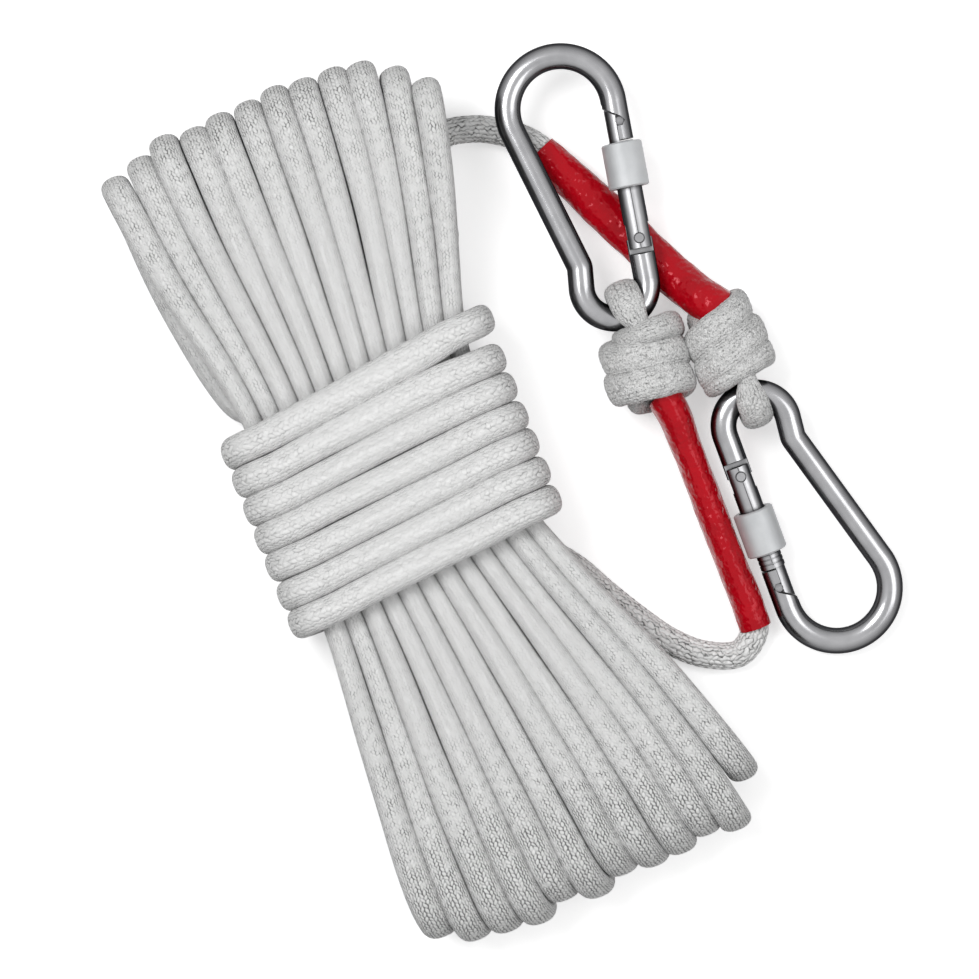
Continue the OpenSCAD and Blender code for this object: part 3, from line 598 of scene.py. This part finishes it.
def makeEye(end):
    # leg above the axis, arc round the wire, leg below the axis; narrow in the knot, wide round the wire
    bar = barAt(end)
    z, off, half = knot["z"], knot["coreOff"], knotHalf(end)
    bend = bow["wire"] + eyeLook["thick"] + eyeLook["gap"]
    barS = (bar[1] - knot["y"][end]) * knot["eyeWay"][end]
    dx = bar[0] - knot["x"][end] + eyeLook["shift"][end]
    neck = eyeLook["neck"][end]
    stations = ((-half + 4, 0), (0, 0), (half - 4, 0.7 * neck))
    above = [onKnot(end, s, x, z + off) for s, x in stations]
    below = [onKnot(end, s, x, z - off) for s, x in stations[::-1]]
    degrees = np.arange(112.5, -113, -22.5)
    pastSide = np.maximum(0.0, np.abs(degrees) - 80.0)
    loop = [onKnot(end, barS + bend * math.cos(a), mix(dx, neck, past / 80.0), bar[2] + bend * math.sin(a))
            for a, past in zip(np.radians(degrees), pastSide)]
    loopWide = eyeLook["half"][end] - 1.6 * pastSide / 32.0
    wide = np.concatenate([[3.0, 3.0, 2.8], loopWide, [2.8, 3.0, 3.0]])
    core = [knot["coreRadius"]] * 3
    tall = np.concatenate([core, [2.95] * len(loop), core])
    path, sizes, s = evenPath(np.array(above + loop + below), 330, np.stack([wide, tall], -1))
    return ropePiece(endNames[end] + "Eye", path + toOrigin, s, (sizes[:, 0], sizes[:, 1]),
                     sideVectors(path, (1, 0, 0)), 96, 0.6 * rope["relief"], square=2.3, pressed=0.2)


leads, knots, eyes, tails = [], [], [], []
for end in (0, 1):
    leads.append(makeLead(end))
    knots.append(makeKnot(end))
    eyes.append(makeEye(end))
    tails.append(makeTail(end))
    print(endNames[end], "end made,", round(leads[end][2][-1] * mm, 3), "m of lead")

# the sleeves: half height and half width where they start and inside, both at the last point of the route
# and both at the tip, which lies at into; lift raises the middle line
sleeveShape = (
    {"up": (4.3, 4.35), "side": (4.6, 5.9), "last": (5.5, 5.9), "tip": (6.9, 6.1), "lift": 0.0,
     "into": (63.3, 21.3, 13.4)},
    {"up": (4.9, 7.0), "side": (4.7, 4.45), "last": (7.4, 5.0), "tip": (7.7, 5.2), "lift": 1.6,
     "into": (39.9, 2.8, 13.2)})


def makeSleeve(end):
    # an oval tube with a thin wall: outside along, round the lip, inside back, round the other lip
    shape = sleeveShape[end]
    index = np.arange(sleeve["start"], atKnot + 1)
    t = smoothStep((index - index[0]) / 2.0)
    points = routes[end][index].copy()
    points[:, 2] += shape["lift"] * t
    sizes = np.stack([mix(*shape["up"], t), mix(*shape["side"], t)], -1)
    sizes[-1] = shape["last"]
    points = np.vstack([points, shape["into"]])
    path, sizes, s = evenPath(points, sleeve["rings"], np.vstack([sizes, shape["tip"]]))
    side, up = sideVectors(path, (0, 0, 1))
    cut = rampFrom(s, s[-1] - 7.0, 5.0)[:, None]  # the end at the knot is cut leaning over it
    side = mix(side, np.array([0.0, 0.0, 1.0]) + 0.2 * directions(path), cut)
    u = np.arange(sleeve["around"]) / sleeve["around"]
    ss, aa = s[:, None], 2 * np.pi * u[None, :]
    lump = (0.5 * np.sin(ss / 3.9 + 1.5 * np.sin(aa * 2 + end))
            + 0.3 * np.sin(ss / 1.7 + 2.1 * np.sin(aa + 1.0))
            + 0.6 * np.sin(ss / 8.9 + aa + end)
            + 0.25 * np.sin(ss / 1.1 + 3 * aa) * np.sin(2 * aa + ss / 5.0))
    fade = smoothStep(np.minimum(s, s[-1] - s) / 2.5)[:, None]
    h = sleeve["lump"][end] * (lump + 0.5) * (0.35 + 0.65 * fade)

    def shell(inset, push):
        a = (sizes[:, 0][:, None] + push - inset) * np.cos(aa)
        b = (sizes[:, 1][:, None] + push - inset) * np.sin(aa)
        return path[:, None, :] + a[..., None] * side[:, None, :] + b[..., None] * up[:, None, :]

    outer = shell(0.0, h)
    inner = shell(sleeve["wall"], h * 0.5)[::-1]
    grid = np.concatenate([outer, inner, outer[:1]], axis=0) + toOrigin
    grid[..., 2] = np.maximum(grid[..., 2], 0.02)
    v = np.concatenate([s, s[::-1] + s[-1] + 1.0, [2 * s[-1] + 2.0]]) * mm
    piece = gridMesh(endNames[end] + "Sleeve", grid, np.append(u, 1.0), v, capped=False)
    work = bmesh.new()
    work.from_mesh(piece.data)
    bmesh.ops.remove_doubles(work, verts=work.verts, dist=1e-7)
    bmesh.ops.recalc_face_normals(work, faces=work.faces)
    work.to_mesh(piece.data)
    work.free()
    return piece


sleeves = [makeSleeve(end) for end in (0, 1)]
print("sleeves made")


# small makers of shader nodes
def newMaterial(name):
    material = bpy.data.materials.new(name)
    material.use_nodes = True
    tree = material.node_tree
    return material, tree, tree.nodes["Principled BSDF"]


def setSockets(node, values):
    for name, value in values.items():
        node.inputs[name].default_value = value


def mathNode(tree, operation, a, b=None, clamp=False):
    node = tree.nodes.new("ShaderNodeMath")
    node.operation = operation
    node.use_clamp = clamp
    for socket, value in zip(node.inputs, (a, b)):
        if value is None:
            continue
        if isinstance(value, (int, float)):
            socket.default_value = value
        else:
            tree.links.new(value, socket)
    return node.outputs[0]


def plus(tree, a, b, clamp=False):
    return mathNode(tree, "ADD", a, b, clamp)


def minus(tree, a, b, clamp=False):
    return mathNode(tree, "SUBTRACT", a, b, clamp)


def times(tree, a, b, clamp=False):
    return mathNode(tree, "MULTIPLY", a, b, clamp)


def noise(tree, coords, scale, detail=3.0):
    node = tree.nodes.new("ShaderNodeTexNoise")
    node.inputs["Scale"].default_value = scale
    node.inputs["Detail"].default_value = detail
    tree.links.new(coords, node.inputs["Vector"])
    return node.outputs["Fac"]


def colourMix(tree, factor, a, b):
    node = tree.nodes.new("ShaderNodeMix")
    node.data_type = "RGBA"
    for socket, value in ((node.inputs[0], factor), (node.inputs[6], a), (node.inputs[7], b)):
        if isinstance(value, (tuple, float, int)):
            socket.default_value = value
        else:
            tree.links.new(value, socket)
    return node.outputs[2]


def objectCoords(tree):
    return tree.nodes.new("ShaderNodeTexCoord").outputs["Object"]


def surfaceCoords(tree):
    node = tree.nodes.new("ShaderNodeUVMap")
    node.uv_map = "surface"
    return node.outputs["UV"]


def stretched(tree, coords, scale):
    node = tree.nodes.new("ShaderNodeVectorMath")
    node.operation = "MULTIPLY"
    node.inputs[1].default_value = scale
    tree.links.new(coords, node.inputs[0])
    return node.outputs[0]


def openSky(tree, samples, distance):
    # 1 in the open, going to 0 in gaps narrower than the distance
    node = tree.nodes.new("ShaderNodeAmbientOcclusion")
    node.samples = samples
    node.inputs["Distance"].default_value = distance
    return node.outputs["AO"]


def addBump(tree, shader, height, distance, strength):
    node = tree.nodes.new("ShaderNodeBump")
    node.inputs["Distance"].default_value = distance
    node.inputs["Strength"].default_value = strength
    tree.links.new(height, node.inputs["Height"])
    tree.links.new(node.outputs["Normal"], shader.inputs["Normal"])


def newGroup(name, inputs, outputs):
    # a node group with number sockets; inputs gives each one's value
    group = bpy.data.node_groups.new(name, "ShaderNodeTree")
    for socketName, value in inputs.items():
        socket = group.interface.new_socket(socketName, in_out="INPUT", socket_type="NodeSocketFloat")
        socket.default_value = value
    for socketName in outputs:
        group.interface.new_socket(socketName, in_out="OUTPUT", socket_type="NodeSocketFloat")
    return group


def placeGroup(tree, group, values):
    node = tree.nodes.new("ShaderNodeGroup")
    node.node_tree = group
    setSockets(node, values)
    return node


def makeBraidGroup():
    # the same height as braidHeight, worked out from the surface map, with the stitches pushed about by noise
    inputs = {"Lanes": 24.0, "Stitch": 0.0016, "Lean": 0.6, "Uneven": 0.8}
    group = newGroup("ropeBraid", inputs, ("Height", "Valley", "Fibre"))
    group.interface.new_socket("Surface", in_out="INPUT", socket_type="NodeSocketVector")
    into = group.nodes.new("NodeGroupInput")
    out = group.nodes.new("NodeGroupOutput")
    split = group.nodes.new("ShaderNodeSeparateXYZ")
    group.links.new(into.outputs["Surface"], split.inputs[0])
    coords = objectCoords(group)

    def pushed(value, scale):
        push = times(group, minus(group, noise(group, coords, scale, 1.0), 0.5), into.outputs["Uneven"])
        return plus(group, value, push)

    around = pushed(times(group, split.outputs[0], into.outputs["Lanes"]), 520.0)
    lane = mathNode(group, "FLOOR", around)
    x = minus(group, mathNode(group, "FRACT", around), 0.5)
    odd = mathNode(group, "MODULO", mathNode(group, "ABSOLUTE", lane), 2.0)
    leaning = times(group, x, minus(group, 1.0, times(group, odd, 2.0)))
    along = pushed(mathNode(group, "DIVIDE", split.outputs[1], into.outputs["Stitch"]), 380.0)
    along = plus(group, along, times(group, odd, 0.5))
    along = plus(group, along, times(group, leaning, into.outputs["Lean"]))
    y = minus(group, mathNode(group, "FRACT", along), 0.5)
    reach = plus(group, times(group, times(group, x, x), 3.8), times(group, times(group, y, y), 3.3))
    valley = mathNode(group, "POWER", reach, 1.5, clamp=True)
    threads = 5
    fibre = times(group, plus(group, leaning, times(group, y, 0.3)), 2 * math.pi * threads)
    group.links.new(minus(group, 1.0, valley), out.inputs["Height"])
    group.links.new(valley, out.inputs["Valley"])
    group.links.new(mathNode(group, "SINE", fibre), out.inputs["Fibre"])
    return group


braidGroup = makeBraidGroup()
ropeFinish = {
    "light": (0.86, 0.86, 0.855, 1.0), "dark": (0.13, 0.13, 0.13, 1.0), "roughness": 0.6, "sheen": 0.15,
    "bump": 0.00032, "fibre": 0.00003, "threads": 0.0004, "grain": 0.0012}


def ropeMaterial(name, bump, lines, uneven=0.9, grain=0.0, look=rope, gap=0.0):
    # painted shade: thin dark lines in the grooves round the stitches, patchy and fading where the rope is
    # smoothed and on the tops that face the light, and long threads there; where the attribute is below zero,
    # at the fold tips, the painted shade lines close up and the rope is painted greyer
    material, tree, shader = newMaterial(name)
    surface = surfaceCoords(tree)
    coords = objectCoords(tree)
    attribute = tree.nodes.new("ShaderNodeAttribute")
    attribute.attribute_name = "pressed"
    pressed = attribute.outputs["Fac"]
    braid = placeGroup(tree, braidGroup, {
        "Lanes": look["lanes"], "Stitch": look["stitch"] * mm, "Lean": look["lean"], "Uneven": uneven})
    tree.links.new(surface, braid.inputs["Surface"])
    contrast = minus(tree, 1.0, times(tree, pressed, 0.88))
    foldTipShade = times(tree, pressed, -1.0, clamp=True)
    patches = plus(tree, times(tree, noise(tree, coords, 450.0), 3.4), lines - 1.25)
    patches = plus(tree, patches, times(tree, foldTipShade, 1.1), clamp=True)
    paintedShadeAndMarks = times(tree, mathNode(tree, "POWER", braid.outputs["Valley"], 2.2), patches)
    paintedShadeAndMarks = times(tree, paintedShadeAndMarks, contrast, clamp=True)
    threads = times(tree, noise(tree, stretched(tree, surface, (30.0, 45.0, 0.0)), 1.0, 4.0), pressed)
    paintedShadeAndMarks = plus(tree, paintedShadeAndMarks, times(tree, threads, 0.10))
    paintedShadeAndMarks = plus(tree, paintedShadeAndMarks, times(tree, foldTipShade, 0.07))
    # painted shade in the creases between two strands, from how closed in each point is
    if gap:  # dark in the creases between two strands
        creaseShadeMask = mathNode(tree, "POWER", minus(tree, 1.0, openSky(tree, 4, 0.0010)), 2.2)
        paintedShadeAndMarks = plus(tree, paintedShadeAndMarks, times(tree, creaseShadeMask, gap))
    specks = times(tree, minus(tree, noise(tree, coords, 2300.0, 2.0), 0.52, clamp=True), grain)
    paintedShadeAndMarks = plus(tree, paintedShadeAndMarks, specks, clamp=True)
    # the rope's own pale colour, mixed towards dark for the painted shade lines and for the specks and
    # threads
    colour = colourMix(tree, paintedShadeAndMarks, ropeFinish["light"], ropeFinish["dark"])
    tree.links.new(colour, shader.inputs["Base Color"])
    height = times(tree, times(tree, braid.outputs["Height"], bump * ropeFinish["bump"]), contrast)
    height = plus(tree, height, times(tree, braid.outputs["Fibre"], ropeFinish["fibre"]))
    height = plus(tree, height, times(tree, threads, ropeFinish["threads"]))
    if grain:
        height = plus(tree, height, times(tree, noise(tree, coords, 1300.0), ropeFinish["grain"]))
    addBump(tree, shader, height, 1.0, 1.0)
    setSockets(shader, {"Roughness": ropeFinish["roughness"], "Sheen Weight": ropeFinish["sheen"],
                        "Sheen Roughness": 0.4})
    return material


fineBraid = {"lanes": 30, "stitch": 1.3, "lean": 0.6}  # the hank, where the rope is pulled out long
whiteRope = ropeMaterial("whiteBraid", 0.7, -0.15, look=fineBraid, gap=0.5)
turnRope = ropeMaterial("whiteBraidInTurns", 1.0, -0.15, gap=0.2)
leadRope = ropeMaterial("whiteBraidOpen", 0.7, 0.12, uneven=1.5, look=openBraid)
tightRope = ropeMaterial("whiteBraidInKnots", 0.4, -0.15, grain=3.6)
sleeveFinish = {
    "bright": (0.54, 0.002, 0.010, 1.0), "deep": (0.34, 0.001, 0.006, 1.0), "tint": (1.0, 0.36, 0.4, 1.0),
    "specular": 0.4, "roughLow": 0.08, "roughHigh": 0.20, "bump": 0.0011}


def sleeveMaterial(look):
    # shrunk plastic: smooth red with long low lumps that break the light into small glints
    material, tree, shader = newMaterial("redShrink")
    coords = objectCoords(tree)
    colour = colourMix(tree, noise(tree, coords, 120.0), look["bright"], look["deep"])
    tree.links.new(colour, shader.inputs["Base Color"])
    rough = times(tree, noise(tree, coords, 600.0), look["roughHigh"] - look["roughLow"])
    tree.links.new(plus(tree, rough, look["roughLow"]), shader.inputs["Roughness"])
    long = noise(tree, stretched(tree, surfaceCoords(tree), (14.0, 330.0, 0.0)), 1.0, 1.5)
    height = plus(tree, long, times(tree, noise(tree, coords, 430.0, 1.0), 0.9))
    addBump(tree, shader, height, look["bump"], 0.5)
    setSockets(shader, {"Specular IOR Level": look["specular"], "Specular Tint": look["tint"]})
    return material


def makeGrainGroup():
    # what every metal here shares: broad patches, uneven roughness between the two limits, and fine scratches
    limits = {"Rough Low": 0.2, "Rough High": 0.3}
    group = newGroup("metalGrain", limits, ("Patches", "Roughness", "Scratches"))
    into = group.nodes.new("NodeGroupInput")
    out = group.nodes.new("NodeGroupOutput")
    coords = objectCoords(group)
    low, high = into.outputs["Rough Low"], into.outputs["Rough High"]
    rough = plus(group, times(group, noise(group, coords, 350.0, 6.0), minus(group, high, low)), low)
    group.links.new(noise(group, coords, 160.0), out.inputs["Patches"])
    group.links.new(rough, out.inputs["Roughness"])
    group.links.new(noise(group, coords, 1500.0), out.inputs["Scratches"])
    return group


grainGroup = makeGrainGroup()
# the colour of the painted dark reflection at the steel's rims and of the painted shade in its narrow gaps
paintedRimShade = (0.05, 0.05, 0.053, 1.0)
metalLooks = {
    "polishedSteel": {"bright": (0.46, 0.46, 0.47, 1.0), "dull": (0.27, 0.27, 0.28, 1.0),
                      "rough": (0.17, 0.29), "scratch": 0.00001, "edge": paintedRimShade, "metallic": 1.0},
    "satinSteel": {"bright": (0.44, 0.44, 0.45, 1.0), "dull": (0.29, 0.29, 0.30, 1.0), "rough": (0.3, 0.42),
                   "scratch": 0.00002, "edge": paintedRimShade, "metallic": 1.0},
    "dullZinc": {"bright": (0.58, 0.59, 0.60, 1.0), "dull": (0.40, 0.41, 0.42, 1.0), "rough": (0.5, 0.6),
                 "scratch": 0.0001, "edge": None, "metallic": 0.4},
    "springWire": {"bright": (0.45, 0.45, 0.46, 1.0), "dull": (0.35, 0.35, 0.36, 1.0), "rough": (0.25, 0.35),
                   "scratch": 0.00001, "edge": None, "metallic": 1.0}}


def metalMaterial(name, look):
    # a fine-scratched metal; with an edge colour it has a painted dark reflection where the surface
    # turns away and painted shade in narrow gaps
    material, tree, shader = newMaterial(name)
    low, high = look["rough"]
    grain = placeGroup(tree, grainGroup, {"Rough Low": low, "Rough High": high})
    colour = colourMix(tree, grain.outputs["Patches"], look["bright"], look["dull"])
    if look["edge"]:
        # painted dark reflection as the surface turns away from the view, then painted shade where gaps close
        # in
        turned = tree.nodes.new("ShaderNodeLayerWeight")
        turned.inputs["Blend"].default_value = 0.5
        turnedAwayShade = mathNode(tree, "DIVIDE", minus(tree, turned.outputs["Facing"], 0.04), 0.38, clamp=True)
        colour = colourMix(tree, turnedAwayShade, colour, look["edge"])
        inOpen = mathNode(tree, "POWER", openSky(tree, 8, 0.0014), 1.6)
        colour = colourMix(tree, inOpen, look["edge"], colour)
        shader.inputs["Specular Tint"].default_value = (0.35, 0.35, 0.35, 1.0)
    tree.links.new(colour, shader.inputs["Base Color"])
    shader.inputs["Metallic"].default_value = look["metallic"]
    tree.links.new(grain.outputs["Roughness"], shader.inputs["Roughness"])
    addBump(tree, shader, grain.outputs["Scratches"], look["scratch"], 0.3)
    return material


redShrink = sleeveMaterial(sleeveFinish)
metals = {name: metalMaterial(name, look) for name, look in metalLooks.items()}


def dress(piece, body, slotName, material, *nodes):
    piece.data.materials.clear()
    piece.data.materials.append(material)
    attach(piece, body)
    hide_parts(*nodes)


dress(hankPiece, "rope", "rope", whiteRope, "rope_hank")
dress(wrapPiece, "rope", "rope", turnRope, "waist_wraps")
for end in (0, 1):
    dress(leads[end][0], "rope", "rope", leadRope, endNames[end] + "_lead")
    dress(knots[end], "rope", "rope", tightRope, endNames[end] + "_knot")
    dress(eyes[end], "rope", "rope", tightRope, endNames[end] + "_eye")
    dress(tails[end], "rope", "rope", tightRope, endNames[end] + "_tail")
    dress(sleeves[end], "rope", "sleeve", redShrink, endNames[end] + "_sleeve")

finishes = {"_frame": "polishedSteel", "_gate": "satinSteel", "_hinge_pin": "polishedSteel",
            "_latch_pin": "polishedSteel", "_lock_nut": "dullZinc", "_gate_spring": "springWire",
            "_plunger": "springWire"}
for endName in endNames:
    for part, metal in finishes.items():
        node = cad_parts[endName + part]
        if not node.material_slots:
            node.data.materials.append(metals[metal])
        for slot in node.material_slots:
            slot.material = metals[metal]
print("materials set")

# floor and light
studio = {"floor": 0.86, "floorHalf": 3.0, "unseenFloor": 0.3, "floorGlow": 0.48,
          "world": 1.1, "below": 0.04, "above": 0.62, "between": ((0.35, 0.12), (0.7, 0.42))}
lamps = {"keyLight": {"place": (-0.5, 0.65, 1.35), "size": 0.7, "power": 12.88},
         "fillLight": {"place": (0.9, -0.5, 1.2), "size": 0.9, "power": 6.72}}


def grey(value):
    return (value, value, value, 1.0)


def backgroundRays(tree):
    # 1 for the rays that meet a white background: the camera's, and those in gloss and glass
    paths = tree.nodes.new("ShaderNodeLightPath")
    shown = plus(tree, paths.outputs["Is Camera Ray"], paths.outputs["Is Glossy Ray"], clamp=True)
    return plus(tree, shown, paths.outputs["Is Transmission Ray"], clamp=True)


def makeFloor():
    # white paper with a shadow for the rays above, plain grey for the light that bounces
    mesh = bpy.data.meshes.new("floor")
    half = studio["floorHalf"]
    corners = [(-half, -half, 0), (half, -half, 0), (half, half, 0), (-half, half, 0)]
    mesh.from_pydata(corners, [], [(0, 1, 2, 3)])
    floor = bpy.data.objects.new("floor", mesh)
    floor.location.z = -0.0002
    bpy.context.scene.collection.objects.link(floor)
    material, tree, shader = newMaterial("floorPaper")
    setSockets(shader, {"Base Color": grey(studio["floor"]), "Roughness": 1.0, "Specular IOR Level": 0.0})
    glow = tree.nodes.new("ShaderNodeEmission")
    setSockets(glow, {"Color": grey(1.0), "Strength": studio["floorGlow"]})
    show = tree.nodes.new("ShaderNodeAddShader")
    tree.links.new(shader.outputs[0], show.inputs[0])
    tree.links.new(glow.outputs[0], show.inputs[1])
    unseen = tree.nodes.new("ShaderNodeBsdfDiffuse")
    unseen.inputs["Color"].default_value = grey(studio["unseenFloor"])
    blend = tree.nodes.new("ShaderNodeMixShader")
    tree.links.new(backgroundRays(tree), blend.inputs[0])
    tree.links.new(unseen.outputs[0], blend.inputs[1])
    tree.links.new(show.outputs[0], blend.inputs[2])
    tree.links.new(blend.outputs[0], tree.nodes["Material Output"].inputs["Surface"])
    floor.data.materials.append(material)


def makeWorld():
    # light that grows from below to above, and white for the rays that meet the background
    world = bpy.data.worlds.new("studio")
    world.use_nodes = True
    bpy.context.scene.world = world
    tree = world.node_tree
    split = tree.nodes.new("ShaderNodeSeparateXYZ")
    tree.links.new(tree.nodes.new("ShaderNodeTexCoord").outputs["Generated"], split.inputs[0])
    ramp = tree.nodes.new("ShaderNodeValToRGB")
    steps = ramp.color_ramp.elements
    steps[0].position = 0.0
    steps[0].color = grey(studio["below"])
    steps[1].position = 1.0
    steps[1].color = grey(studio["above"])
    for position, value in studio["between"]:
        steps.new(position).color = grey(value)
    tree.links.new(split.outputs[2], ramp.inputs[0])
    background = tree.nodes["Background"]
    colour = colourMix(tree, backgroundRays(tree), ramp.outputs[0], grey(1.0))
    tree.links.new(colour, background.inputs["Color"])
    background.inputs["Strength"].default_value = studio["world"]


def areaLight(name, look):
    # a square lamp turned to the origin
    data = bpy.data.lights.new(name, "AREA")
    data.shape = "RECTANGLE"
    data.size = look["size"]
    data.size_y = look["size"]
    data.energy = look["power"]
    lamp = bpy.data.objects.new(name, data)
    bpy.context.scene.collection.objects.link(lamp)
    lamp.location = look["place"]
    lamp.rotation_euler = (-Vector(look["place"])).to_track_quat("-Z", "Y").to_euler()


makeFloor()
makeWorld()
for name, look in lamps.items():
    areaLight(name, look)
bpy.context.scene.view_settings.view_transform = "Standard"
print("floor and lights placed")
